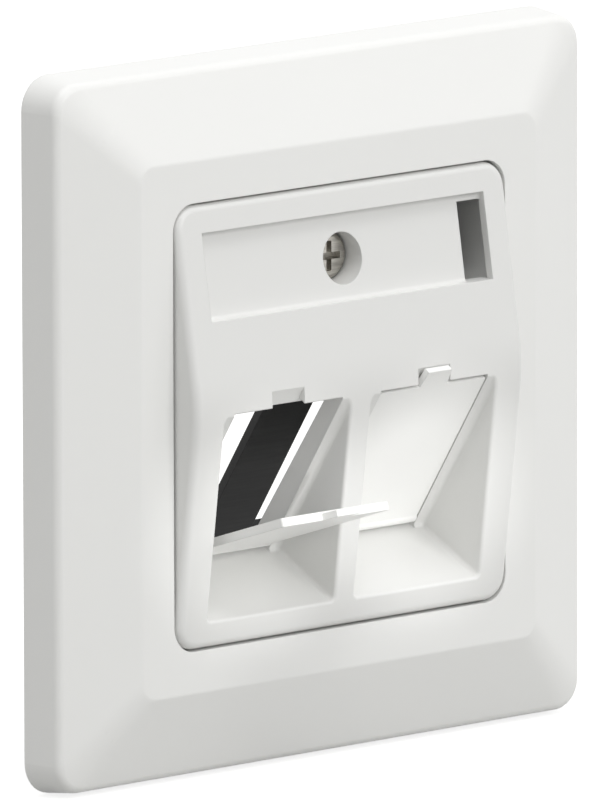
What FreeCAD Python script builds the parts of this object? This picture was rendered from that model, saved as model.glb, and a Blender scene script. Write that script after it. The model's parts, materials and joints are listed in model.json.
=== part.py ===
import FreeCAD, Part
import os
import Sketcher

# Flush-mounted outlet cover for two keystone jacks that leave it pointing down and outwards.
# Frame of the model: +Z up, +X right as seen from the room, -Y out of the wall.
# The origin is the centre of the wall plane, which is the plane y = 0.

V = FreeCAD.Vector
doc = FreeCAD.newDocument("keystone_outlet")

# ---------------------------------------------------------------- driving dimensions (mm, deg)
SIZES = [
    ("frame_width", 80.0, "outer side of the square cover frame"),
    ("frame_depth", 8.1, "wall plane to the flat front of the frame"),
    ("frame_side", 4.9, "height of the frame's side wall"),
    ("frame_draft", 0.6, "how far the side wall leans in at its front edge"),
    ("frame_wall", 2.0, "thickness of the frame's shell"),
    ("frame_face", 2.2, "thickness of the frame's flat front"),
    ("frame_corner", 3.8, "corner radius at the wall plane"),
    ("flat_width", 59.4, "side of the raised flat front"),
    ("flat_corner", 2.0, "corner radius of the raised flat front"),
    ("opening_width", 50.0, "side of the frame's square opening"),
    ("opening_corner", 3.0, "corner radius of that opening"),
    ("ridge_round", 1.1, "rounding between side wall and bevel"),
    ("flat_round", 1.0, "rounding between bevel and flat front"),
    ("insert_play", 0.25, "gap between opening and centre plate, each side"),
    ("plate_nose", 11.75, "wall plane to the fold of the centre plate"),
    ("fold_height", 2.4, "height of the fold above the centre"),
    ("fold_round", 20.0, "rounding of the fold"),
    ("plate_foot", 8.25, "wall plane to the lower edge of the plate's face"),
    ("plate_wall", 2.0, "front wall of the centre plate"),
    ("skirt_wall", 1.6, "side walls of the centre plate"),
    ("plate_edge", 0.9, "rounding round the centre plate's face"),
    ("flange_width", 54.0, "side of the flange behind the frame"),
    ("flange_thick", 1.5, "thickness of that flange"),
    ("label_width", 42.4, "label recess, width"),
    ("label_tall", 9.7, "label recess, height"),
    ("label_centre", 16.8, "height of the label recess above the centre"),
    ("label_deep", 1.0, "depth of the label recess"),
    ("label_foot", 0.5, "rounding round the floor of the label recess"),
    ("pry_slot", 3.3, "width of the slot for lifting the label cover"),
    ("pry_ledge", 0.9, "rim of recess floor left above the pry slot"),
    ("pry_undercut", 1.2, "how far the pry slot reaches behind the recess's side wall"),
    ("screw_height", 16.5, "height of the screw above the centre"),
    ("screw_hole", 5.8, "bore for the screw head"),
    ("screw_sink", 2.2, "recess floor down to the top of the screw head"),
    ("boss_wall", 1.4, "wall of the boss round the screw"),
    ("port_pitch", 22.0, "centre to centre of the two ports"),
    ("port_width", 18.9, "width of a port in the front face"),
    ("port_tilt", 33.5, "lean of the dust flap from the vertical"),
    ("root_depth", 0.7, "flap root behind the wall plane"),
    ("root_drop", 17.1, "flap root below the centre"),
    ("floor_tilt", 27.0, "fall of the port floor towards the room"),
    ("port_corner", 0.5, "rounding where a port's walls meet inside it"),
    ("port_edge", 0.4, "rounding of a port's edge in the front face"),
    ("seat_thick", 2.9, "thickness of the slanted wall at the flap root"),
    ("seat_top", 2.2, "thickness of the slanted wall at its upper end"),
    ("port_wall", 1.3, "thickness of the other port walls"),
    ("notch_width", 4.8, "notch for the flap's finger tab"),
    ("notch_deep", 1.2, "ledges' plane to the notch's bottom, and to the lip that stops the flap"),
    ("flap_width", 16.0, "width of the dust flap"),
    ("flap_play", 0.1, "gap beside the dust flap"),
    ("flap_gap", 0.35, "gap above the dust flap"),
    ("lip_tall", 0.6, "lip behind the flap's upper edge"),
    ("flap_thick", 1.0, "thickness of the dust flap"),
    ("flap_corner", 0.3, "corner radius of the dust flap"),
    ("tab_taper", 0.35, "how much the tab narrows on each side"),
    ("flap_recess", 0.1, "closed flap's face behind the ledges' plane"),
    ("flap_open", 38.5, "opening of the left dust flap as shown"),
    ("pivot_up", 1.1, "hinge axis above the flap root, up the ledges' plane"),
    ("pivot_deep", 0.8, "hinge axis behind the ledges' plane"),
    ("bead_radius", 0.85, "radius of the bead along the hinge axis"),
    ("pin_radius", 0.4, "radius of the hinge pins"),
    ("pin_length", 0.9, "length of each hinge pin beyond the flap"),
    ("pin_play", 0.05, "radial play of the hinge pins"),
    ("tab_width", 4.2, "finger tab, width"),
    ("tab_length", 2.1, "finger tab, length beyond the flap's edge"),
    ("tab_thick", 0.75, "finger tab, thickness"),
    ("ring_play", 2.5, "gap between the frame's inside and the support ring, each side"),
    ("ring_thick", 1.2, "sheet thickness of the support ring"),
    ("ring_corner", 5.0, "corner radius of the support ring"),
    ("sheet_corner", 1.0, "corner radius of small features in the sheet parts"),
    ("window_width", 46.8, "window of the support ring, width"),
    ("window_top", 11.5, "top of that window above the centre"),
    ("window_foot", 21.8, "bottom of that window below the centre"),
    ("box_pitch", 60.0, "distance of the box screws"),
    ("slot_wide", 3.4, "width of the box screw slots"),
    ("slot_long", 7.0, "overall length of the box screw slots"),
    ("carrier_offset", 8.6, "flap plane to the front of the jack carrier"),
    ("carrier_thick", 1.0, "sheet thickness of the jack carrier"),
    ("jack_width", 14.5, "width of a keystone cut-out"),
    ("jack_tall", 25.9, "height of a cut-out, for the jack and its latch"),
    ("jack_foot", -5.0, "lower edge of the cut-outs above the flap root"),
    ("carrier_rim", 2.2, "sheet above and below the cut-outs"),
    ("arm_play", 0.2, "gap between port wall and carrier arm"),
    ("ear_width", 5.2, "width of the carrier's riveted ears"),
    ("ear_tall", 17.0, "height of the riveted ears"),
    ("ear_foot", 20.5, "bottom of the ears below the centre"),
    ("rivet_radius", 1.25, "radius of the rivet shanks"),
    ("rivet_head", 2.1, "radius of the rivet heads"),
    ("rivet_cap", 0.7, "height of the rivet heads"),
    ("rivet_pitch", 10.0, "distance of the two rivets of an ear"),
    ("screw_radius", 1.5, "radius of the screw shank"),
    ("head_radius", 2.7, "radius of the screw head"),
    ("head_tall", 1.9, "height of the screw head"),
    ("cross_deep", 1.1, "depth of the cross recess"),
    ("cross_wide", 0.75, "width of the cross recess's arms"),
    ("cross_span", 3.4, "span of the cross recess"),
    ("bush_radius", 2.5, "radius of the threaded bush"),
    ("bush_head", 3.6, "radius of the bush's collar"),
    ("bush_collar", 0.8, "thickness of the bush's collar"),
    ("bush_long", 5.0, "length of the bush behind the ring"),
    ("thread_play", 0.03, "radial play of the screw in the bush"),
    ("screw_spare", 1.2, "screw tip beyond the bush"),
]

sheet = doc.addObject("Spreadsheet::Sheet", "Sizes")
for row, (alias, value, note) in enumerate(SIZES, start=1):
    sheet.set("A%d" % row, alias)
    sheet.set("B%d" % row, str(value))
    sheet.set("C%d" % row, note)
    sheet.setAlias("B%d" % row, alias)
doc.recompute()
ALIASES = {alias for alias, value, note in SIZES}

# ---------------------------------------------------------------- derived places, as expressions
HALF = "(opening_width / 2 - insert_play)"                            # half side of the centre plate
RISE = "((plate_nose - frame_depth) / (%s - fold_height))" % HALF     # lean of the upper face
FALL = "((plate_nose - plate_foot) / (%s + fold_height))" % HALF      # lean of the lower face
INSIDE = "(%s - skirt_wall)" % HALF                                   # half side of its hollow
FLANGE_Y = "(frame_depth - frame_face)"                               # flange against the frame
# Distance from the flap root up the flap plane to the lower face.
REACH = ("((root_depth + plate_nose - %s * (root_drop + fold_height))"
         " / (sin(port_tilt) - %s * cos(port_tilt)))" % (FALL, FALL))
LABEL_Y = "(plate_nose - %s * (label_centre - fold_height))" % RISE   # face at the recess's middle
HEAD_Y = "(plate_nose - %s * (screw_height - fold_height) - label_deep - screw_sink)" % RISE
SEAT_Y = "(%s - head_tall)" % HEAD_Y                                  # seat of the screw head
RING_WIDE = "(frame_width - 2 * frame_wall - 2 * ring_play)"          # side of the support ring
APERTURE = "(flap_width + 2 * flap_play)"                             # opening behind a dust flap
FLAP_TALL = "(%s - pivot_up - flap_gap)" % REACH                      # hinge axis to the flap's edge
PORT_SPAN = "(port_pitch + port_width + 2 * port_wall)"               # outer width of both ports
ARM = "(port_pitch / 2 + port_width / 2 + port_wall + arm_play)"      # inner side of the arms
EAR_X = "(%s + carrier_thick + ear_width / 2)" % ARM                  # rivets, to each side
EAR_Z = "(ear_foot - ear_tall / 2)"                                   # ears' middle below the centre
ARM_UP = "((root_depth + carrier_offset * cos(port_tilt)) / sin(port_tilt))"   # carrier meets y = 0

SIDES = (("Left", "-"), ("Right", ""))


def tilted(up, behind):
    """(y, z) of a place given up the flap plane from the flap root, and behind that plane."""
    y = "root_depth - (%s) * sin(port_tilt) + (%s) * cos(port_tilt)" % (up, behind)
    z = "(%s) * cos(port_tilt) + (%s) * sin(port_tilt) - root_drop" % (up, behind)
    return y, z


def bound(text):
    """The expression with every size's alias pointed at the sheet."""
    words = []
    word = ""
    for letter in text + " ":
        if letter.isalpha() or letter == "_":
            word += letter
            continue
        words.append("Sizes." + word if word in ALIASES else word)
        words.append(letter)
        word = ""
    return "".join(words).strip()


probe = doc.addObject("App::FeaturePython", "Probe")
probe.addProperty("App::PropertyFloat", "Reading")


def number(expression):
    """The value that an expression has now."""
    probe.setExpression("Reading", bound(expression))
    probe.recompute()
    return float(probe.Reading)


# ---------------------------------------------------------------- sketches and features
def new_body(name):
    body = doc.addObject("PartDesign::Body", name)
    body.Label = name
    return body


def sketch_on(body, name, plane, offset):
    """Sketch on one of the body's own planes, moved out along its normal by an expression."""
    sketch = body.newObject("Sketcher::SketchObject", name)
    base = [feature for feature in body.Origin.OriginFeatures if feature.Role == plane][0]
    sketch.AttachmentSupport = (base, [""])
    sketch.MapMode = "FlatFace"
    sketch.setExpression("AttachmentOffset.Base.z", bound(offset))
    return sketch


def pin_down(sketch, geometry, end, x, y):
    """Binds one end point of a sketch element to two expressions."""
    for kind, expression in (("DistanceX", x), ("DistanceY", y)):
        index = sketch.addConstraint(
            Sketcher.Constraint(kind, -1, 1, geometry, end, number(expression)))
        sketch.setExpression("Constraints[%d]" % index, bound(expression))


def polygon(body, name, plane, points, offset="0"):
    """Closed outline through points that are pairs of expressions."""
    sketch = sketch_on(body, name, plane, offset)
    places = [V(number(x), number(y), 0) for x, y in points]
    count = len(points)
    for index in range(count):
        following = places[(index + 1) % count]
        sketch.addGeometry(Part.LineSegment(places[index], following), False)
    for index in range(count):
        sketch.addConstraint(
            Sketcher.Constraint("Coincident", index, 2, (index + 1) % count, 1))
    for index, (x, y) in enumerate(points):
        pin_down(sketch, index, 1, x, y)
    return sketch


def rounded(body, name, wide, tall, radius, across="0", up="0", offset="0", plane="XZ_Plane"):
    """Rectangle with rounded corners about a centre, every size an expression."""
    sketch = sketch_on(body, name, plane, offset)
    corners = ((1, 1), (-1, 1), (-1, -1), (1, -1))
    ends = []
    for index, (sx, sy) in enumerate(corners):
        edge_x = "%s + %d * (%s) / 2" % (across, sx, wide)
        edge_y = "%s + %d * (%s) / 2" % (up, sy, tall)
        near_x = "%s - %d * (%s)" % (edge_x, sx, radius)
        near_y = "%s - %d * (%s)" % (edge_y, sy, radius)
        first, last = (edge_x, near_y), (near_x, edge_y)
        if index % 2:
            first, last = last, first
        ends.append((first, last))
        centre = V(number(near_x), number(near_y), 0)
        turn = Part.Circle(centre, V(0, 0, 1), number(radius))
        quarter = FreeCAD.Units.Quantity("90 deg").getValueAs("rad").Value
        sketch.addGeometry(Part.ArcOfCircle(turn, index * quarter, (index + 1) * quarter), False)
    for index in range(4):
        start = V(*[number(text) for text in ends[index][1]], 0)
        stop = V(*[number(text) for text in ends[(index + 1) % 4][0]], 0)
        sketch.addGeometry(Part.LineSegment(start, stop), False)
    for index in range(4):
        side = 4 + index
        sketch.addConstraint(Sketcher.Constraint("Coincident", index, 2, side, 1))
        sketch.addConstraint(Sketcher.Constraint("Coincident", side, 2, (index + 1) % 4, 1))
        pin_down(sketch, side, 1, *ends[index][1])
        pin_down(sketch, side, 2, *ends[(index + 1) % 4][0])
        bend = sketch.addConstraint(Sketcher.Constraint("Radius", index, number(radius)))
        sketch.setExpression("Constraints[%d]" % bend, bound(radius))
    return sketch


def circle(body, name, radius, across="0", up="0", offset="0", plane="XZ_Plane"):
    """Circle about a centre, every size an expression."""
    sketch = sketch_on(body, name, plane, offset)
    centre = V(number(across), number(up), 0)
    sketch.addGeometry(Part.Circle(centre, V(0, 0, 1), number(radius)), False)
    pin_down(sketch, 0, 3, across, up)
    bend = sketch.addConstraint(Sketcher.Constraint("Radius", 0, number(radius)))
    sketch.setExpression("Constraints[%d]" % bend, bound(radius))
    return sketch


def sweep(body, kind, sketch, length, side="One side", backwards=False):
    """Pad or pocket of a sketch with its length bound to an expression."""
    feature = body.newObject("PartDesign::" + kind, sketch.Name + kind)
    feature.Profile = sketch
    feature.SideType = side
    feature.Reversed = backwards
    feature.setExpression("Length", bound(length))
    sketch.Visibility = False
    doc.recompute()
    return feature


def pad(body, sketch, length, side="One side", backwards=False):
    return sweep(body, "Pad", sketch, length, side, backwards)


def pocket(body, sketch, length, side="One side", backwards=False):
    return sweep(body, "Pocket", sketch, length, side, backwards)


def loft(body, kind, name, sections):
    """Straight-sided loft through a list of sketches."""
    feature = body.newObject("PartDesign::" + kind, name)
    feature.Profile = sections[0]
    feature.Sections = sections[1:]
    feature.Ruled = True
    doc.recompute()
    return feature


def fillet(body, name, radius, wanted):
    """Rounds the edges of the body so far for which wanted(edge) holds."""
    tip = body.Tip
    names = ["Edge%d" % (index + 1) for index, edge in enumerate(tip.Shape.Edges) if wanted(edge)]
    feature = body.newObject("PartDesign::Fillet", name)
    feature.Base = (tip, names)
    feature.setExpression("Radius", bound(radius))
    doc.recompute()
    return feature


def near(first, second, slack=0.02):
    return abs(first - second) < slack


def flat_at(edge, y):
    """True for an edge lying in the plane at y."""
    box = edge.BoundBox
    return near(box.YMin, y) and near(box.YMax, y)


# ================================================================ cover frame
frame = new_body("cover_frame")
outside = [
    rounded(frame, "FrameFoot", "frame_width", "frame_width", "frame_corner"),
    rounded(frame, "FrameRidge", "frame_width - 2 * frame_draft", "frame_width - 2 * frame_draft",
            "frame_corner - frame_draft", offset="frame_side"),
    rounded(frame, "FrameFlat", "flat_width", "flat_width", "flat_corner", offset="frame_depth"),
]
loft(frame, "AdditiveLoft", "FrameShell", outside)
fillet(frame, "FrameFlatEdge", "flat_round", lambda edge: flat_at(edge, -number("frame_depth")))
fillet(frame, "FrameRidgeEdge", "ridge_round", lambda edge: flat_at(edge, -number("frame_side")))
INNER = "(frame_width - 2 * frame_wall)"
inside = [
    rounded(frame, "HollowFoot", INNER, INNER, "frame_corner - frame_wall"),
    rounded(frame, "HollowRidge", INNER + " - 2 * frame_draft", INNER + " - 2 * frame_draft",
            "frame_corner - frame_wall - frame_draft", offset="frame_side - frame_wall * 0.75"),
    rounded(frame, "HollowFlat", "flat_width - frame_wall", "flat_width - frame_wall",
            "flat_corner * 0.8", offset=FLANGE_Y),
]
loft(frame, "SubtractiveLoft", "FrameHollow", inside)
window = rounded(frame, "FrameOpening", "opening_width", "opening_width", "opening_corner",
                 offset="frame_depth + 1")
pocket(frame, window, "frame_depth + 2")

# ================================================================ centre plate
plate = new_body("centre_plate")
block = polygon(plate, "PlateBlock", "YZ_Plane", [
    ("-ring_thick", "-" + HALF),
    ("-plate_foot", "-" + HALF),
    ("-plate_nose", "fold_height"),
    ("-frame_depth", HALF),
    ("-ring_thick", HALF),
])
pad(plate, block, "2 * " + HALF, "Symmetric")


def plate_corner(edge):
    box = edge.BoundBox
    half = number(HALF)
    return box.XLength < 0.01 and box.ZLength < 0.01 and near(abs(box.XMin), half)


fillet(plate, "PlateCorners", "opening_corner - insert_play", plate_corner)
fillet(plate, "PlateFold", "fold_round",
       lambda edge: flat_at(edge, -number("plate_nose")) and edge.BoundBox.XLength > number(HALF))


def plate_rim(edge):
    """Outer edges of the two faces and of the rounded fold between them."""
    box = edge.BoundBox
    half = number(HALF)
    at_side = max(abs(box.XMin), abs(box.XMax)) > half - number("opening_corner")
    in_front = box.YMax < -number("plate_foot - plate_edge")
    across = near(box.XMin, -box.XMax) and abs(box.ZMin) < half - number("plate_edge")
    along_y = box.XLength < 0.01 and box.ZLength < 0.01
    return at_side and in_front and not across and not along_y


fillet(plate, "PlateRim", "plate_edge", plate_rim)
flange = rounded(plate, "Flange", "flange_width", "flange_width", "opening_corner + 1.5",
                 offset=FLANGE_Y)
pad(plate, flange, "flange_thick", backwards=True)
hollow = polygon(plate, "PlateHollow", "YZ_Plane", [
    ("1", "-" + INSIDE),
    ("plate_wall - plate_foot", "-" + INSIDE),
    ("plate_wall - plate_nose", "fold_height"),
    ("plate_wall - frame_depth", INSIDE),
    ("1", INSIDE),
])
pocket(plate, hollow, "2 * " + INSIDE, "Symmetric")

# Ports: the slanted wall that carries the flaps, the floor and the side walls in one block.
ports = polygon(plate, "PortBlock", "YZ_Plane", [
    tilted(REACH, "0.5"),
    tilted(REACH, "seat_top"),
    tilted("-port_wall", "seat_thick"),
    ("root_depth + port_wall * sin(floor_tilt)", "-root_drop - port_wall * cos(floor_tilt)"),
    ("1 - plate_foot", "-" + HALF + " + 0.8"),
])
pad(plate, ports, PORT_SPAN, "Symmetric")
boss = circle(plate, "ScrewBoss", "screw_hole / 2 + boss_wall", up="screw_height",
              offset="ring_thick")
pad(plate, boss, HEAD_Y + " + screw_sink - ring_thick - 0.3")

recess = polygon(plate, "LabelRecess", "YZ_Plane", [
    ("-%s - %s * label_tall / -2 + label_deep" % (LABEL_Y, RISE), "label_centre + label_tall / 2"),
    ("-%s - %s * label_tall / 2 + label_deep" % (LABEL_Y, RISE), "label_centre - label_tall / 2"),
    ("-plate_nose - 3", "label_centre - label_tall / 2"),
    ("-plate_nose - 3", "label_centre + label_tall / 2"),
])
pocket(plate, recess, "label_width", "Symmetric")


def recess_foot(edge):
    """Edges round the floor of the label recess."""
    floor = number("label_deep - %s" % LABEL_Y)
    lean = number(RISE)
    middle = number("label_centre")
    half = number("label_width / 2")
    ends = [vertex.Point for vertex in edge.Vertexes]
    return all(near(abs(end.x), half) and near(end.y, floor + lean * (end.z - middle))
               for end in ends)


fillet(plate, "LabelFoot", "label_foot", recess_foot)
pry = polygon(plate, "PrySlot", "YZ_Plane", [
    ("-frame_depth + plate_wall + 2", "label_centre + label_tall / 2 - pry_ledge"),
    ("-frame_depth + plate_wall + 2", "label_centre - label_tall / 2"),
    ("-plate_nose - 3", "label_centre - label_tall / 2"),
    ("-plate_nose - 3", "label_centre + label_tall / 2 - pry_ledge"),
], offset="label_width / 2 - pry_slot / 2")
pocket(plate, pry, "pry_slot", "Symmetric")
PRY_TOP = "(label_centre + label_tall / 2 - pry_ledge)"
PRY_FOOT = "(label_centre - label_tall / 2)"
RECESS_FLOOR = "label_deep - %s + %s * (%%s - label_centre)" % (LABEL_Y, RISE)
undercut = polygon(plate, "PryUndercut", "YZ_Plane", [
    (RECESS_FLOOR % PRY_TOP, PRY_TOP),
    (RECESS_FLOOR % PRY_FOOT, PRY_FOOT),
    ("-frame_depth + plate_wall + 2", PRY_FOOT),
    ("-frame_depth + plate_wall + 2", PRY_TOP),
], offset="label_width / 2 + (pry_undercut - pry_slot) / 2")
pocket(plate, undercut, "pry_slot + pry_undercut", "Symmetric")
bore = circle(plate, "ScrewBore", "screw_hole / 2", up="screw_height", offset="plate_nose + 3")
pocket(plate, bore, "plate_nose + 3 - " + SEAT_Y)
shank = circle(plate, "ScrewShankHole", "screw_radius + 0.2", up="screw_height",
               offset="plate_nose + 3")
pocket(plate, shank, "plate_nose + 3")

for word, side in SIDES:
    funnel = polygon(plate, word + "Port", "YZ_Plane", [
        tilted("0", "0"),
        tilted(REACH + " + 8", "0"),
        ("-plate_nose - 12", "fold_height"),
        ("-plate_nose - 12", "-root_drop - (root_depth + plate_nose + 12) * tan(floor_tilt)"),
    ], offset=side + "port_pitch / 2")
    pocket(plate, funnel, "port_width", "Symmetric")


def in_port(edge):
    """The ends of an edge when they all lie within one port, below the fold, else nothing."""
    ends = [vertex.Point for vertex in edge.Vertexes]
    inside = number("port_width / 2") + 0.02
    fold = number("fold_height")
    for side in (number("port_pitch / 2"), -number("port_pitch / 2")):
        if all(abs(end.x - side) < inside and end.z < fold for end in ends):
            return ends
    return []


def port_inner(edge):
    """Edges that run up and out from a port's root, and the root itself."""
    depth, drop = number("root_depth"), number("root_drop")
    return any(near(end.y, depth) and near(end.z, -drop) for end in in_port(edge))


def port_mouth(edge):
    """Edges of a port in the plate's front face."""
    ends = in_port(edge)
    return bool(ends) and all(end.y < -number("plate_foot") for end in ends)


fillet(plate, "PortCorners", "port_corner", port_inner)
fillet(plate, "PortEdges", "port_edge", port_mouth)
for word, side in SIDES:
    middle = side + "port_pitch / 2"
    aperture = polygon(plate, word + "Aperture", "YZ_Plane", [
        ("root_depth - 0.5", "-root_drop - 0.5 * tan(floor_tilt)"),
        tilted(REACH, "-0.5"),
        tilted(REACH, "notch_deep"),
        tilted(REACH + " - lip_tall", "notch_deep"),
        tilted(REACH + " - lip_tall", "seat_thick + 1.5"),
        ("root_depth + seat_thick + 1", "(seat_thick + 1) * tan(floor_tilt) - root_drop"),
    ], offset=middle)
    pocket(plate, aperture, APERTURE, "Symmetric")
    notch = polygon(plate, word + "Notch", "YZ_Plane", [
        tilted(REACH + " - 1", "notch_deep"),
        tilted(REACH + " + 4", "notch_deep"),
        tilted(REACH + " + 4", "-1"),
        tilted(REACH + " - 1", "-1"),
    ], offset=middle)
    pocket(plate, notch, "notch_width", "Symmetric")
    pin_y, pin_z = tilted("pivot_up", "pivot_deep")
    pins = circle(plate, word + "PinHoles", "pin_radius + pin_play", across=pin_y, up=pin_z,
                  offset=middle, plane="YZ_Plane")
    pocket(plate, pins, APERTURE + " + 2 * pin_length + 0.2", "Symmetric")


# ================================================================ dust flaps
def dust_flap(name, side, opening):
    """Flap with its hinge axis on the body's X axis and its leaf standing up along Z."""
    flap = new_body(name)
    bead = circle(flap, name + "_bead", "bead_radius", plane="YZ_Plane")
    pad(flap, bead, "flap_width", "Symmetric")
    pins = circle(flap, name + "_pins", "pin_radius", plane="YZ_Plane")
    pad(flap, pins, "flap_width + 2 * pin_length", "Symmetric")
    leaf = rounded(flap, name + "_leaf", "flap_width", FLAP_TALL, "flap_corner",
                   up=FLAP_TALL + " / 2", offset="pivot_deep - flap_recess - flap_thick")
    pad(flap, leaf, "flap_thick")
    tab = polygon(flap, name + "_tab", "XZ_Plane", [
        ("tab_width / -2", FLAP_TALL + " - flap_corner"),
        ("tab_width / 2", FLAP_TALL + " - flap_corner"),
        ("tab_width / 2 - tab_taper", FLAP_TALL + " + tab_length"),
        ("tab_width / -2 + tab_taper", FLAP_TALL + " + tab_length"),
    ], offset="pivot_deep - flap_recess - tab_thick")
    pad(flap, tab, "tab_thick")
    pivot_y, pivot_z = tilted("pivot_up", "pivot_deep")
    flap.Placement = FreeCAD.Placement(V(0, 0, 0), FreeCAD.Rotation(V(1, 0, 0), 30))
    flap.setExpression("Placement.Base.x", bound(side + "port_pitch / 2"))
    flap.setExpression("Placement.Base.y", bound(pivot_y))
    flap.setExpression("Placement.Base.z", bound(pivot_z))
    flap.setExpression("Placement.Rotation.Angle", bound("port_tilt + " + opening))
    return flap


left_flap = dust_flap("dust_flap_left", "-", "flap_open")
right_flap = dust_flap("dust_flap_right", "", "0")

# ================================================================ support ring
ring = new_body("support_ring")
sheet_metal = rounded(ring, "RingSheet", RING_WIDE, RING_WIDE, "ring_corner")
pad(ring, sheet_metal, "ring_thick")
window = rounded(ring, "RingWindow", "window_width", "window_top + window_foot", "sheet_corner",
                 up="(window_top - window_foot) / 2", offset="ring_thick + 1")
pocket(ring, window, "ring_thick + 2")
for word, side in SIDES:
    slot = rounded(ring, "BoxSlot" + word, "slot_long", "slot_wide", "slot_wide / 2 - 0.05",
                   across=side + "box_pitch / 2", offset="ring_thick + 1")
    pocket(ring, slot, "ring_thick + 2")
for word, side in (("Bottom", "-"), ("Top", "")):
    slot = rounded(ring, "BoxSlot" + word, "slot_wide", "slot_long", "slot_wide / 2 - 0.05",
                   up=side + "box_pitch / 2", offset="ring_thick + 1")
    pocket(ring, slot, "ring_thick + 2")
seat = circle(ring, "BushHole", "bush_radius", up="screw_height", offset="ring_thick + 1")
pocket(ring, seat, "ring_thick + 2")

# ================================================================ keystone carrier
carrier = new_body("keystone_carrier")
CARRIER_TOP = "jack_foot + jack_tall + carrier_rim"
slanted = polygon(carrier, "CarrierSheet", "YZ_Plane", [
    tilted("jack_foot - carrier_rim", "carrier_offset"),
    tilted(CARRIER_TOP, "carrier_offset"),
    tilted(CARRIER_TOP, "carrier_offset + carrier_thick"),
    tilted("jack_foot - carrier_rim", "carrier_offset + carrier_thick"),
])
pad(carrier, slanted, "2 * %s + 2 * carrier_thick" % ARM, "Symmetric")
for word, side in SIDES:
    cut = polygon(carrier, "Jack" + word, "YZ_Plane", [
        tilted("jack_foot", "carrier_offset - 1"),
        tilted("jack_foot + jack_tall", "carrier_offset - 1"),
        tilted("jack_foot + jack_tall", "carrier_offset + carrier_thick + 1"),
        tilted("jack_foot", "carrier_offset + carrier_thick + 1"),
    ], offset=side + "port_pitch / 2")
    pocket(carrier, cut, "jack_width", "Symmetric")
for word, side in SIDES:
    arm = polygon(carrier, "Arm" + word, "YZ_Plane", [
        ("0", "-ear_foot"),
        ("carrier_thick", "-ear_foot"),
        tilted("jack_foot - carrier_rim", "carrier_offset + carrier_thick"),
        tilted(ARM_UP, "carrier_offset + carrier_thick"),
        tilted(ARM_UP, "carrier_offset"),
    ], offset="%s(%s + carrier_thick / 2)" % (side, ARM))
    pad(carrier, arm, "carrier_thick", "Symmetric")
    ear = rounded(carrier, "Ear" + word, "ear_width + carrier_thick", "ear_tall", "sheet_corner",
                  across="%s(%s + (ear_width + carrier_thick) / 2)" % (side, ARM),
                  up="-" + EAR_Z)
    pad(carrier, ear, "carrier_thick", backwards=True)

# ================================================================ rivets, with their holes
rivets = doc.addObject("Part::MultiFuse", "carrier_rivets")


def rivet_part(name, radius, start, length, side, drop):
    """Cylinder along Y at one rivet's place."""
    cylinder = doc.addObject("Part::Cylinder", name)
    cylinder.Placement = FreeCAD.Placement(V(0, 0, 0), FreeCAD.Rotation(V(1, 0, 0), -90))
    cylinder.setExpression("Radius", bound(radius))
    cylinder.setExpression("Height", bound(length))
    cylinder.setExpression("Placement.Base.x", bound("%s%s" % (side, EAR_X)))
    cylinder.setExpression("Placement.Base.y", bound(start))
    cylinder.setExpression("Placement.Base.z", bound("-%s %s rivet_pitch / 2" % (EAR_Z, drop)))
    return cylinder


pieces = []
for word, side in SIDES:
    for place, drop in (("Upper", "+"), ("Lower", "-")):
        tag = word + place
        for body, offset, depth in ((ring, "ring_thick + 1", "ring_thick + 2"),
                                    (carrier, "1", "carrier_thick + 2")):
            hole = circle(body, body.Name + "_rivet" + tag, "rivet_radius",
                          across=side + EAR_X, up="-%s %s rivet_pitch / 2" % (EAR_Z, drop),
                          offset=offset)
            pocket(body, hole, depth)
        pieces.append(rivet_part("Shank" + tag, "rivet_radius", "-ring_thick",
                                 "ring_thick + carrier_thick", side, drop))
        pieces.append(rivet_part("Cap" + tag, "rivet_head", "carrier_thick",
                                 "rivet_cap", side, drop))
rivets.Shapes = pieces

# ================================================================ threaded bush
bush = new_body("screw_bush")
sleeve = circle(bush, "BushSleeve", "bush_radius", up="screw_height", offset="ring_thick")
pad(bush, sleeve, "ring_thick + bush_long", backwards=True)
collar = circle(bush, "BushCollar", "bush_head", up="screw_height")
pad(bush, collar, "bush_collar", backwards=True)
thread = circle(bush, "BushBore", "screw_radius + thread_play", up="screw_height",
                offset="ring_thick + 1")
pocket(bush, thread, "ring_thick + bush_long + 2")

# ================================================================ centre screw
screw = new_body("centre_screw")
head = circle(screw, "ScrewHead", "head_radius", up="screw_height", offset=SEAT_Y)
pad(screw, head, "head_tall")
fillet(screw, "ScrewHeadEdge", "head_tall * 0.3", lambda edge: flat_at(edge, -number(HEAD_Y)))
stem = circle(screw, "ScrewStem", "screw_radius", up="screw_height", offset=SEAT_Y)
pad(screw, stem, SEAT_Y + " + bush_long + screw_spare", backwards=True)
fillet(screw, "ScrewTip", "screw_radius * 0.3",
       lambda edge: flat_at(edge, number("bush_long + screw_spare")))
for name, wide, tall in (("CrossWide", "cross_span", "cross_wide"),
                         ("CrossTall", "cross_wide", "cross_span")):
    arm = rounded(screw, name, wide, tall, "0.15", up="screw_height", offset=HEAD_Y + " + 0.5")
    pocket(screw, arm, "cross_deep + 0.5")

# ================================================================ checks and files
doc.removeObject("Probe")
doc.recompute()
NODES = [frame, plate, left_flap, right_flap, screw, bush, ring, carrier, rivets]
for item in doc.Objects:
    if "Invalid" in item.State or "Error" in item.State:
        raise RuntimeError("%s did not rebuild: %s" % (item.Label, item.State))
for node in NODES:
    node.Label = node.Name
    if node.Shape.isNull() or not node.Shape.isValid():
        raise RuntimeError("%s has no sound shape" % node.Label)
    print("%-18s %8.1f mm3  solids %d" % (node.Label, node.Shape.Volume, len(node.Shape.Solids)))

os.makedirs("parts", exist_ok=True)
for node in NODES:
    node.Shape.exportStep("parts/%s.step" % node.Label)
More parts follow.
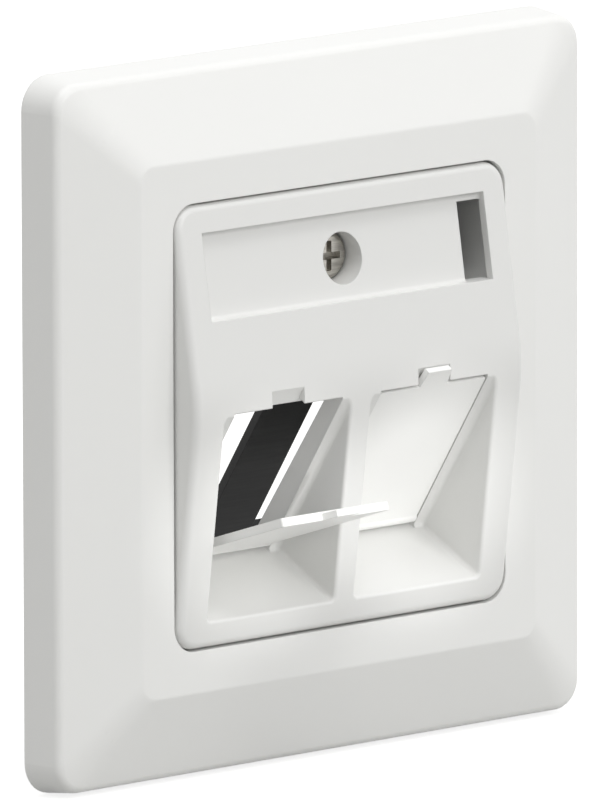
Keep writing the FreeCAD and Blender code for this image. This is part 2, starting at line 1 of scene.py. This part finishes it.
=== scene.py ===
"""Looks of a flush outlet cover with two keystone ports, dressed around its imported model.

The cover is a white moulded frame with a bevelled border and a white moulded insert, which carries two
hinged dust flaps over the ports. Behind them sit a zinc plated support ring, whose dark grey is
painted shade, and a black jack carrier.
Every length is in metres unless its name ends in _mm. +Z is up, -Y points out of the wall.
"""

from __future__ import annotations

import json
import logging
import math
from dataclasses import dataclass, field
from enum import Enum

import bmesh
import bpy
from mathutils import Matrix, Vector

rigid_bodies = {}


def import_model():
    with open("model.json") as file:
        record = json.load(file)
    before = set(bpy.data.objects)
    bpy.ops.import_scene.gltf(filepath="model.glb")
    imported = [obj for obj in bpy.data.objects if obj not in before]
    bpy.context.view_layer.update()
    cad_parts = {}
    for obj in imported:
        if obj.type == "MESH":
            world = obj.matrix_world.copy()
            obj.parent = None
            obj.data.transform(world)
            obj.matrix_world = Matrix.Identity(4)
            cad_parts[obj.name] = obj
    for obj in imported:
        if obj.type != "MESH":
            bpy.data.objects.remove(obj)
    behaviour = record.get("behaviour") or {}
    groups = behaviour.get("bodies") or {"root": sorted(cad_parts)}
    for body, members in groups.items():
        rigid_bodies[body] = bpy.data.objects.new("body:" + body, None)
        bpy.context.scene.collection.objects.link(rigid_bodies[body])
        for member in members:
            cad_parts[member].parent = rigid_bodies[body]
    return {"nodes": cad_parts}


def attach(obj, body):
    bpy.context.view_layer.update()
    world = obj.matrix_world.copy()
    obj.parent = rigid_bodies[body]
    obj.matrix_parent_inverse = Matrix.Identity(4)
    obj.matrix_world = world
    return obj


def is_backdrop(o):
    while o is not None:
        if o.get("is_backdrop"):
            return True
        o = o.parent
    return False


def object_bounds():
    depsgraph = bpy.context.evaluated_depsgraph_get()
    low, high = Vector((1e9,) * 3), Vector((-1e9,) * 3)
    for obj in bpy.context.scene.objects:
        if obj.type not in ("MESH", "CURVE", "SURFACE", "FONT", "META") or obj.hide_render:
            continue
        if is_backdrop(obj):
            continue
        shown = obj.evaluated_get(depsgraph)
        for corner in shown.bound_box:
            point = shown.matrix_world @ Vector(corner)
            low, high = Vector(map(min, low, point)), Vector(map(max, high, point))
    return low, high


LOG = logging.getLogger("keystone_outlet")
MM = 0.001
BODY = "outlet"
WHITE = (1.0, 1.0, 1.0, 1.0)
BEVEL_SAMPLES = 6  # rays that round one edge in a finish
BUMP_STRENGTH = 1.0  # full strength, so that a finish's height alone sets its relief
MIX_COLOUR_A, MIX_COLOUR_B, MIX_COLOUR_OUT = 6, 7, 2  # sockets of a Mix node set to colours


# ---------------------------------------------------------------------------- colour and node helpers
def linear(hex_code: str) -> tuple[float, float, float, float]:
    """Turns an sRGB hex colour into linear RGBA.

    Args:
        hex_code: Colour such as "#F2F1EE".

    Returns:
        The linear colour with alpha 1.
    """
    channels = [int(hex_code[start : start + 2], 16) / 255 for start in (1, 3, 5)]
    scene = [c / 12.92 if c <= 0.04045 else ((c + 0.055) / 1.055) ** 2.4 for c in channels]
    return (*scene, 1.0)


def add_node(
    tree: bpy.types.NodeTree,
    kind: str,
    settings: dict[str, object] | None = None,
    links: dict[str | int, bpy.types.NodeSocket] | None = None,
    **inputs: object,
) -> bpy.types.Node:
    """Adds one shader node with its settings, socket values and incoming links.

    Args:
        tree: Node tree that gets the node.
        kind: Node type, such as "ShaderNodeTexNoise".
        settings: Attributes of the node itself.
        links: Input socket name or number to the output socket that feeds it.
        **inputs: Socket values, with spaces in the socket's name written as underscores.

    Returns:
        The new node.
    """
    node = tree.nodes.new(kind)
    for name, value in (settings or {}).items():
        setattr(node, name, value)
    for name, value in inputs.items():
        node.inputs[name.replace("_", " ")].default_value = value
    for name, source in (links or {}).items():
        tree.links.new(source, node.inputs[name])
    return node


def new_material(name: str) -> tuple[bpy.types.Material, bpy.types.NodeTree, bpy.types.Node]:
    """Makes an empty node material.

    Args:
        name: Name of the material.

    Returns:
        The material, its node tree and its output node.
    """
    material = bpy.data.materials.new(name)
    material.use_nodes = True
    tree = material.node_tree
    tree.nodes.clear()
    output = add_node(tree, "ShaderNodeOutputMaterial")
    return material, tree, output


def rounded_edges(tree: bpy.types.NodeTree, radius_mm: float) -> bpy.types.NodeSocket:
    """Lets a finish catch light along its edges as if they were slightly rounded.

    Args:
        tree: Node tree of the finish.
        radius_mm: Radius of the rounding.

    Returns:
        The socket with the rounded normal.
    """
    edge = add_node(
        tree, "ShaderNodeBevel", settings={"samples": BEVEL_SAMPLES}, Radius=radius_mm * MM
    )
    return edge.outputs[0]


def direct_ray(tree: bpy.types.NodeTree) -> bpy.types.NodeSocket:
    """Tells the rays of the camera, of reflections and of clear materials from those that only light.

    Args:
        tree: Node tree that gets the test.

    Returns:
        A socket that holds 1 for the first kind of ray and 0 for the second.
    """
    path = add_node(tree, "ShaderNodeLightPath")
    maximum = {"operation": "MAXIMUM"}
    seen = add_node(
        tree,
        "ShaderNodeMath",
        settings=maximum,
        links={0: path.outputs["Is Camera Ray"], 1: path.outputs["Is Glossy Ray"]},
    )
    shown = add_node(
        tree,
        "ShaderNodeMath",
        settings=maximum,
        links={0: seen.outputs[0], 1: path.outputs["Is Transmission Ray"]},
    )
    return shown.outputs[0]


def box_of(node: bpy.types.Object) -> tuple[Vector, Vector]:
    """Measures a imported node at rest.

    Args:
        node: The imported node.

    Returns:
        Its lowest and its highest corner.
    """
    points = [node.matrix_world @ vertex.co for vertex in node.data.vertices]
    lowest = Vector([min(point[axis] for point in points) for axis in range(3)])
    highest = Vector([max(point[axis] for point in points) for axis in range(3)])
    return lowest, highest


class Grain(Enum):
    """Direction in which a sheet's rolling lines run."""

    ACROSS = (0.05, 1.0, 1.0)
    UPRIGHT = (1.0, 1.0, 0.05)


# ---------------------------------------------------------------------------- finishes
@dataclass(frozen=True)
class MouldedWhite:
    """White ABS, injection moulded in a polished tool: even colour, soft gloss, faint ripple."""

    name: str
    colour: str = "#F3F3F1"
    roughness: float = 0.38
    ior: float = 1.53
    ripple_mm: float = 0.9  # spacing of the faint ripple that makes highlights look moulded
    ripple_height_mm: float = 0.0018
    ripple_octaves: float = 3.0
    ripple_roughness: float = 0.55
    edge_mm: float = 0.16  # radius that the tool's polishing leaves on every edge
    drift_mm: float = 25.0  # size of the patches over which the colour drifts
    drift_octaves: float = 2.0
    tone_spread: float = 0.012  # how much the colour drifts over a moulding

    def build(self) -> bpy.types.Material:
        """Builds the material.

        Returns:
            The finished material.
        """
        material, tree, output = new_material(self.name)
        place = add_node(tree, "ShaderNodeTexCoord")
        drift = add_node(
            tree,
            "ShaderNodeTexNoise",
            links={"Vector": place.outputs["Object"]},
            Scale=1 / (self.drift_mm * MM),
            Detail=self.drift_octaves,
        )
        base = linear(self.colour)
        darker = tuple(c * (1 - self.tone_spread) for c in base[:3]) + (1.0,)
        colour = add_node(
            tree,
            "ShaderNodeMix",
            settings={"data_type": "RGBA"},
            links={"Factor": drift.outputs[0]},
        )
        colour.inputs[MIX_COLOUR_A].default_value = base
        colour.inputs[MIX_COLOUR_B].default_value = darker
        edge = rounded_edges(tree, self.edge_mm)
        ripple = add_node(
            tree,
            "ShaderNodeTexNoise",
            links={"Vector": place.outputs["Object"]},
            Scale=1 / (self.ripple_mm * MM),
            Detail=self.ripple_octaves,
            Roughness=self.ripple_roughness,
        )
        bump = add_node(
            tree,
            "ShaderNodeBump",
            links={"Height": ripple.outputs[0], "Normal": edge},
            Strength=BUMP_STRENGTH,
            Distance=self.ripple_height_mm * MM,
        )
        shader = add_node(
            tree,
            "ShaderNodeBsdfPrincipled",
            links={"Base Color": colour.outputs[MIX_COLOUR_OUT], "Normal": bump.outputs[0]},
            Roughness=self.roughness,
            IOR=self.ior,
        )
        tree.links.new(shader.outputs[0], output.inputs["Surface"])
        return material


@dataclass(frozen=True)
class RolledSheet:
    """Sheet steel with a thin finish: fine rolling lines, uneven sheen."""

    name: str
    light: str
    dark: str
    roughness: float
    metallic: float
    grain: Grain
    line_mm: float = 0.35  # spacing of the rolling lines
    line_height_mm: float = 0.004
    line_octaves: float = 4.0
    line_roughness: float = 0.6
    dark_below: float = 0.3  # share of the lines' height up to which the sheet is fully dark
    light_above: float = 0.7  # share from which it is fully light
    edge_mm: float = 0.08

    def build(self) -> bpy.types.Material:
        """Builds the material.

        Returns:
            The finished material.
        """
        material, tree, output = new_material(self.name)
        place = add_node(tree, "ShaderNodeTexCoord")
        stretch = add_node(
            tree,
            "ShaderNodeMapping",
            links={"Vector": place.outputs["Object"]},
            Scale=self.grain.value,
        )
        lines = add_node(
            tree,
            "ShaderNodeTexNoise",
            links={"Vector": stretch.outputs[0]},
            Scale=1 / (self.line_mm * MM),
            Detail=self.line_octaves,
            Roughness=self.line_roughness,
        )
        tone = add_node(tree, "ShaderNodeValToRGB", links={"Fac": lines.outputs[0]})
        stops = ((self.dark_below, self.dark), (self.light_above, self.light))
        for element, (position, colour) in zip(tone.color_ramp.elements, stops):
            element.position = position
            element.color = linear(colour)
        edge = rounded_edges(tree, self.edge_mm)
        bump = add_node(
            tree,
            "ShaderNodeBump",
            links={"Height": lines.outputs[0], "Normal": edge},
            Strength=BUMP_STRENGTH,
            Distance=self.line_height_mm * MM,
        )
        shader = add_node(
            tree,
            "ShaderNodeBsdfPrincipled",
            links={"Base Color": tone.outputs[0], "Normal": bump.outputs[0]},
            Roughness=self.roughness,
            Metallic=self.metallic,
        )
        tree.links.new(shader.outputs[0], output.inputs["Surface"])
        return material


# ---------------------------------------------------------------------------- pieces
def dress(node: bpy.types.Object, material: bpy.types.Material) -> None:
    """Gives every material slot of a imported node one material.

    Args:
        node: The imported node.
        material: Its finish.
    """
    slots = node.data.materials
    if not slots:
        slots.append(material)
    for index in range(len(slots)):
        slots[index] = material
    LOG.info("dressed %s in %s", node.name, material.name)


def mesh_piece(name: str, form: bmesh.types.BMesh, material: bpy.types.Material) -> bpy.types.Object:
    """Turns a bmesh into a smooth-shaded object with one material.

    Args:
        name: Name of the piece.
        form: Its geometry, which this call frees.
        material: Its finish.

    Returns:
        The new object.
    """
    mesh = bpy.data.meshes.new(name)
    form.to_mesh(mesh)
    form.free()
    mesh.polygons.foreach_set("use_smooth", [True] * len(mesh.polygons))
    mesh.materials.append(material)
    piece = bpy.data.objects.new(name, mesh)
    bpy.context.scene.collection.objects.link(piece)
    LOG.info("built %s with %d faces", name, len(mesh.polygons))
    return piece


@dataclass
class CoverFrame:
    """Bevelled outer frame, one white moulding."""

    node: bpy.types.Object
    finish: MouldedWhite = MouldedWhite("moulded_abs_frame")

    def build(self) -> None:
        """Dresses the frame."""
        dress(self.node, self.finish.build())


@dataclass
class Insert:
    """Centre plate with its ports, and the two dust flaps in it."""

    plate: bpy.types.Object
    flaps: list[bpy.types.Object]
    # The plate's white is darker than the frame's: painted shade, a shaded copy of the same moulded
    # white.
    shaded_plate_finish: MouldedWhite = MouldedWhite("moulded_abs_plate_painted_shade", colour="#E7E7E5")
    # The flaps' white is lighter than the frame's: painted light, a lit copy of the same moulded
    # white.
    lit_flap_finish: MouldedWhite = MouldedWhite("moulded_abs_flap_painted_light", colour="#F8F8F6")

    def build(self) -> None:
        """Dresses the plate and the flaps."""
        dress(self.plate, self.shaded_plate_finish.build())
        material = self.lit_flap_finish.build()
        for flap in self.flaps:
            dress(flap, material)


@dataclass
class SheetParts:
    """Support ring, jack carrier, rivets and bush behind the cover."""

    ring: bpy.types.Object
    carrier: bpy.types.Object
    small: list[bpy.types.Object]
    # Far darker than the zinc of the small parts: painted shade, a shaded copy of the zinc plating.
    shaded_ring_finish: RolledSheet = RolledSheet(
        "zinc_sheet_painted_shade",
        light="#4C4D4F",
        dark="#202122",
        roughness=0.42,
        metallic=1.0,
        grain=Grain.UPRIGHT,
    )
    # Near black, far darker than the zinc of the small parts.
    carrier_finish: RolledSheet = RolledSheet(
        "near_black_sheet",
        light="#1C1C1C",
        dark="#0B0B0B",
        roughness=0.5,
        metallic=0.4,
        grain=Grain.ACROSS,
    )
    small_finish: RolledSheet = RolledSheet(
        "zinc_plated_steel",
        light="#C6C3BC",
        dark="#9A9791",
        roughness=0.3,
        metallic=1.0,
        grain=Grain.ACROSS,
        line_mm=0.2,
    )

    def build(self) -> None:
        """Dresses the sheet parts and the small turned parts."""
        dress(self.ring, self.shaded_ring_finish.build())
        dress(self.carrier, self.carrier_finish.build())
        material = self.small_finish.build()
        for node in self.small:
            dress(node, material)


@dataclass
class ScrewThread:
    """Thread on the free tip of the centre screw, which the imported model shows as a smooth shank."""

    screw: bpy.types.Object
    bush: bpy.types.Object
    finish: RolledSheet = RolledSheet(
        "rolled_thread_steel",
        light="#BDBAB3",
        dark="#8D8A84",
        roughness=0.32,
        metallic=1.0,
        grain=Grain.ACROSS,
    )
    bush_gap_mm: float = 0.15  # from the bush's rear face to the first turn
    tip_round_mm: float = 0.45  # rounded end of the shank, which carries no thread
    root_mm: float = 1.45  # inside the shank, so that the ridge's foot doesn't show
    crest_mm: float = 1.6
    pitch_mm: float = 0.5
    flank: float = 0.38  # half width of the ridge's foot, as a share of the pitch
    fade_turns: float = 0.25  # part of a turn over which the ridge rises and runs out
    steps: int = 40  # faces in one turn
    height_mm: float = field(init=False)  # of the screw's axis above the cover's centre
    start_mm: float = field(init=False)  # behind the wall plane, as is the stop
    stop_mm: float = field(init=False)

    def __post_init__(self) -> None:
        """Takes the thread's height and both its ends from the screw and the bush, in mm."""
        low, high = box_of(self.screw)
        bush_rear = box_of(self.bush)[1].y
        self.height_mm = (low.z + high.z) / 2 / MM
        self.start_mm = bush_rear / MM + self.bush_gap_mm
        self.stop_mm = high.y / MM - self.tip_round_mm

    def section(self, row: int, rows: int) -> list[tuple[float, float, float]]:
        """Works out one cross-section of the ridge.

        Args:
            row: Number of the section along the helix.
            rows: Number of the last one.

        Returns:
            Three points in metres: front foot, crest and rear foot.
        """
        turn = 2 * math.pi * row / self.steps
        along_mm = self.start_mm + self.pitch_mm * row / self.steps
        fade = min(1.0, min(row, rows - row) / (self.steps * self.fade_turns))
        top_mm = self.root_mm + (self.crest_mm - self.root_mm) * fade
        points = ((self.root_mm, -self.flank), (top_mm, 0.0), (self.root_mm, self.flank))
        return [
            (
                radius_mm * math.cos(turn) * MM,
                (along_mm + shift * self.pitch_mm) * MM,
                (self.height_mm + radius_mm * math.sin(turn)) * MM,
            )
            for radius_mm, shift in points
        ]

    def build(self) -> bpy.types.Object:
        """Builds the helical ridge.

        Returns:
            The ridge, which rides on the fixed body.
        """
        rows = round((self.stop_mm - self.start_mm) / self.pitch_mm * self.steps)
        form = bmesh.new()
        rings = [
            [form.verts.new(point) for point in self.section(row, rows)] for row in range(rows + 1)
        ]
        for first, second in zip(rings, rings[1:]):
            for corner in range(len(first)):
                after = (corner + 1) % len(first)
                form.faces.new((first[corner], first[after], second[after], second[corner]))
        form.faces.new(rings[0])
        form.faces.new(list(reversed(rings[-1])))
        bmesh.ops.recalc_face_normals(form, faces=form.faces)
        piece = mesh_piece("centre_screw_thread", form, self.finish.build())
        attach(piece, BODY)
        return piece


# ---------------------------------------------------------------------------- studio
@dataclass(frozen=True)
class SoftBox:
    """Area lamp that looks at the cover's centre. Angles are in degrees, power is in watts."""

    name: str
    azimuth: float
    elevation: float
    width: float
    height: float
    power: float
    distance: float = 1.5

    def build(self) -> bpy.types.Object:
        """Adds the lamp to the scene.

        Returns:
            The lamp object.
        """
        lamp = bpy.data.lights.new(self.name, "AREA")
        lamp.shape = "RECTANGLE"
        lamp.size = self.width
        lamp.size_y = self.height
        lamp.energy = self.power
        return hang_lamp(lamp, direction(self.azimuth, self.elevation) * self.distance, Vector())


class Side(Enum):
    """Half of the cover, as the sign of its X."""

    LEFT = -1
    RIGHT = 1


@dataclass(frozen=True)
class SnootedSpot:
    """Small spot with a soft-edged beam, low in front, that lifts one port and its flap.

    It hangs aside, ahead and below the cover's centre and looks at a place in the port, which is
    given in the same way.
    """

    side: Side
    aside: float = 0.02
    ahead: float = 0.29
    below: float = 0.036
    port_aside: float = 0.0125
    port_ahead: float = 0.009
    port_below: float = 0.0125
    beam: float = 5.7  # degrees
    edge: float = 0.45  # share of the beam that fades out
    radius: float = 0.006
    power: float = 1.25  # watts

    def build(self) -> bpy.types.Object:
        """Adds the spot to the scene.

        Returns:
            The lamp object.
        """
        lamp = bpy.data.lights.new(f"lamp_low_{self.side.name.lower()}", "SPOT")
        lamp.spot_size = math.radians(self.beam)
        lamp.spot_blend = self.edge
        lamp.shadow_soft_size = self.radius
        lamp.energy = self.power
        place = Vector((self.side.value * self.aside, -self.ahead, -self.below))
        port = Vector((self.side.value * self.port_aside, -self.port_ahead, -self.port_below))
        return hang_lamp(lamp, place, port)


def hang_lamp(lamp: bpy.types.Light, place: Vector, target: Vector) -> bpy.types.Object:
    """Puts a lamp at a place and aims it.

    Args:
        lamp: The lamp's data.
        place: Where it hangs.
        target: What it looks at.

    Returns:
        The lamp object.
    """
    light = bpy.data.objects.new(lamp.name, lamp)
    light.location = place
    light.rotation_mode = "QUATERNION"
    light.rotation_quaternion = (target - place).to_track_quat("-Z", "Y")
    bpy.context.scene.collection.objects.link(light)
    return light


def direction(azimuth: float, elevation: float) -> Vector:
    """Unit vector from the object towards a viewer or a lamp.

    Args:
        azimuth: Degrees, 0 in front of the cover and positive to its right.
        elevation: Degrees above the horizon.

    Returns:
        The unit vector.
    """
    turn, rise = math.radians(azimuth), math.radians(elevation)
    return Vector(
        (math.sin(turn) * math.cos(rise), -math.cos(turn) * math.cos(rise), math.sin(rise))
    )


@dataclass
class Studio:
    """White surroundings: world, floor, lamps and camera."""

    floor_height: float
    world_level: float = 0.6  # light that the surroundings give, 1 being their looks
    floor_colour: str = "#ACACAA"
    floor_lift: float = 0.8  # glow that only direct rays meet, so that lit paper looks white
    floor_width: float = 8.0  # side of the square sheet
    lamps: tuple[SoftBox | SnootedSpot, ...] = (
        SoftBox("lamp_top", azimuth=0.0, elevation=88.0, width=0.9, height=0.9, power=2.9),
        SoftBox("lamp_top_left", azimuth=-30.0, elevation=66.0, width=0.7, height=0.5, power=4.6),
        SoftBox("lamp_front", azimuth=12.0, elevation=26.0, width=0.7, height=0.5, power=5.6),
        SoftBox("lamp_right", azimuth=60.0, elevation=28.0, width=0.7, height=0.5, power=1.0),
        SnootedSpot(Side.LEFT),
        SnootedSpot(Side.RIGHT),
    )
    camera_azimuth: float = -42.656  # degrees, as are the elevation and the roll
    camera_elevation: float = 9.695
    camera_distance: float = 2.1966
    camera_roll: float = 0.165
    camera_lens_mm: float = 890.8
    camera_sensor_mm: float = 36.0
    camera_shift: tuple[float, float] = (0.0111, -0.0049)
    camera_reach: tuple[float, float] = (0.1, 50.0)  # nearest and farthest distance that it shows

    def build_world(self) -> None:
        """World that lights softly and looks white to the camera and in reflections."""
        world = bpy.data.worlds.new("studio_world")
        world.use_nodes = True
        bpy.context.scene.world = world
        tree = world.node_tree
        tree.nodes.clear()
        soft = add_node(tree, "ShaderNodeBackground", Color=WHITE, Strength=self.world_level)
        white = add_node(tree, "ShaderNodeBackground", Color=WHITE, Strength=1.0)
        mix = add_node(
            tree,
            "ShaderNodeMixShader",
            links={0: direct_ray(tree), 1: soft.outputs[0], 2: white.outputs[0]},
        )
        add_node(tree, "ShaderNodeOutputWorld", links={"Surface": mix.outputs[0]})

    def build_floor(self) -> None:
        """Pale floor under the cover that looks white where it is fully lit and keeps a shadow."""
        form = bmesh.new()
        bmesh.ops.create_grid(form, x_segments=1, y_segments=1, size=self.floor_width / 2)
        material, tree, output = new_material("white_paper_sweep")
        paper = add_node(tree, "ShaderNodeBsdfDiffuse", Color=linear(self.floor_colour))
        amount = add_node(
            tree, "ShaderNodeMath", settings={"operation": "MULTIPLY"}, links={0: direct_ray(tree)}
        )
        amount.inputs[1].default_value = self.floor_lift
        glow = add_node(tree, "ShaderNodeEmission", links={"Strength": amount.outputs[0]})
        both = add_node(
            tree, "ShaderNodeAddShader", links={0: paper.outputs[0], 1: glow.outputs[0]}
        )
        tree.links.new(both.outputs[0], output.inputs["Surface"])
        floor = mesh_piece("floor", form, material)
        floor.location.z = self.floor_height
        floor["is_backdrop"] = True

    def build_camera(self) -> None:
        """Long-lens camera to the left of the cover and a little above it."""
        data = bpy.data.cameras.new("camera")
        data.lens = self.camera_lens_mm
        data.sensor_width = self.camera_sensor_mm
        data.shift_x, data.shift_y = self.camera_shift
        data.clip_start, data.clip_end = self.camera_reach
        camera = bpy.data.objects.new("camera", data)
        back = direction(self.camera_azimuth, self.camera_elevation)
        camera.location = back * self.camera_distance
        camera.rotation_mode = "QUATERNION"
        level = (-back).to_track_quat("-Z", "Y")
        roll = Matrix.Rotation(math.radians(-self.camera_roll), 3, "Z").to_quaternion()
        camera.rotation_quaternion = level @ roll
        bpy.context.scene.collection.objects.link(camera)
        bpy.context.scene.camera = camera

    def build(self) -> None:
        """Builds the whole studio."""
        bpy.context.scene.view_settings.view_transform = "Standard"
        self.build_world()
        self.build_floor()
        for lamp in self.lamps:
            lamp.build()
        self.build_camera()
        LOG.info("built the studio with %d lamps", len(self.lamps))


def main() -> None:
    """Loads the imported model, dresses it and sets the studio up."""
    logging.basicConfig(level=logging.INFO, format="%(name)s: %(message)s")
    for start_object in list(bpy.data.objects):
        bpy.data.objects.remove(start_object)
    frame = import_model()
    cad_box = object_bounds()
    nodes = frame["nodes"]
    CoverFrame(nodes["cover_frame"]).build()
    Insert(nodes["centre_plate"], [nodes["dust_flap_left"], nodes["dust_flap_right"]]).build()
    SheetParts(
        nodes["support_ring"],
        nodes["keystone_carrier"],
        [nodes["centre_screw"], nodes["screw_bush"], nodes["carrier_rivets"]],
    ).build()
    ScrewThread(nodes["centre_screw"], nodes["screw_bush"]).build()
    Studio(floor_height=cad_box[0].z).build()


if __name__ == "__main__":
    main()
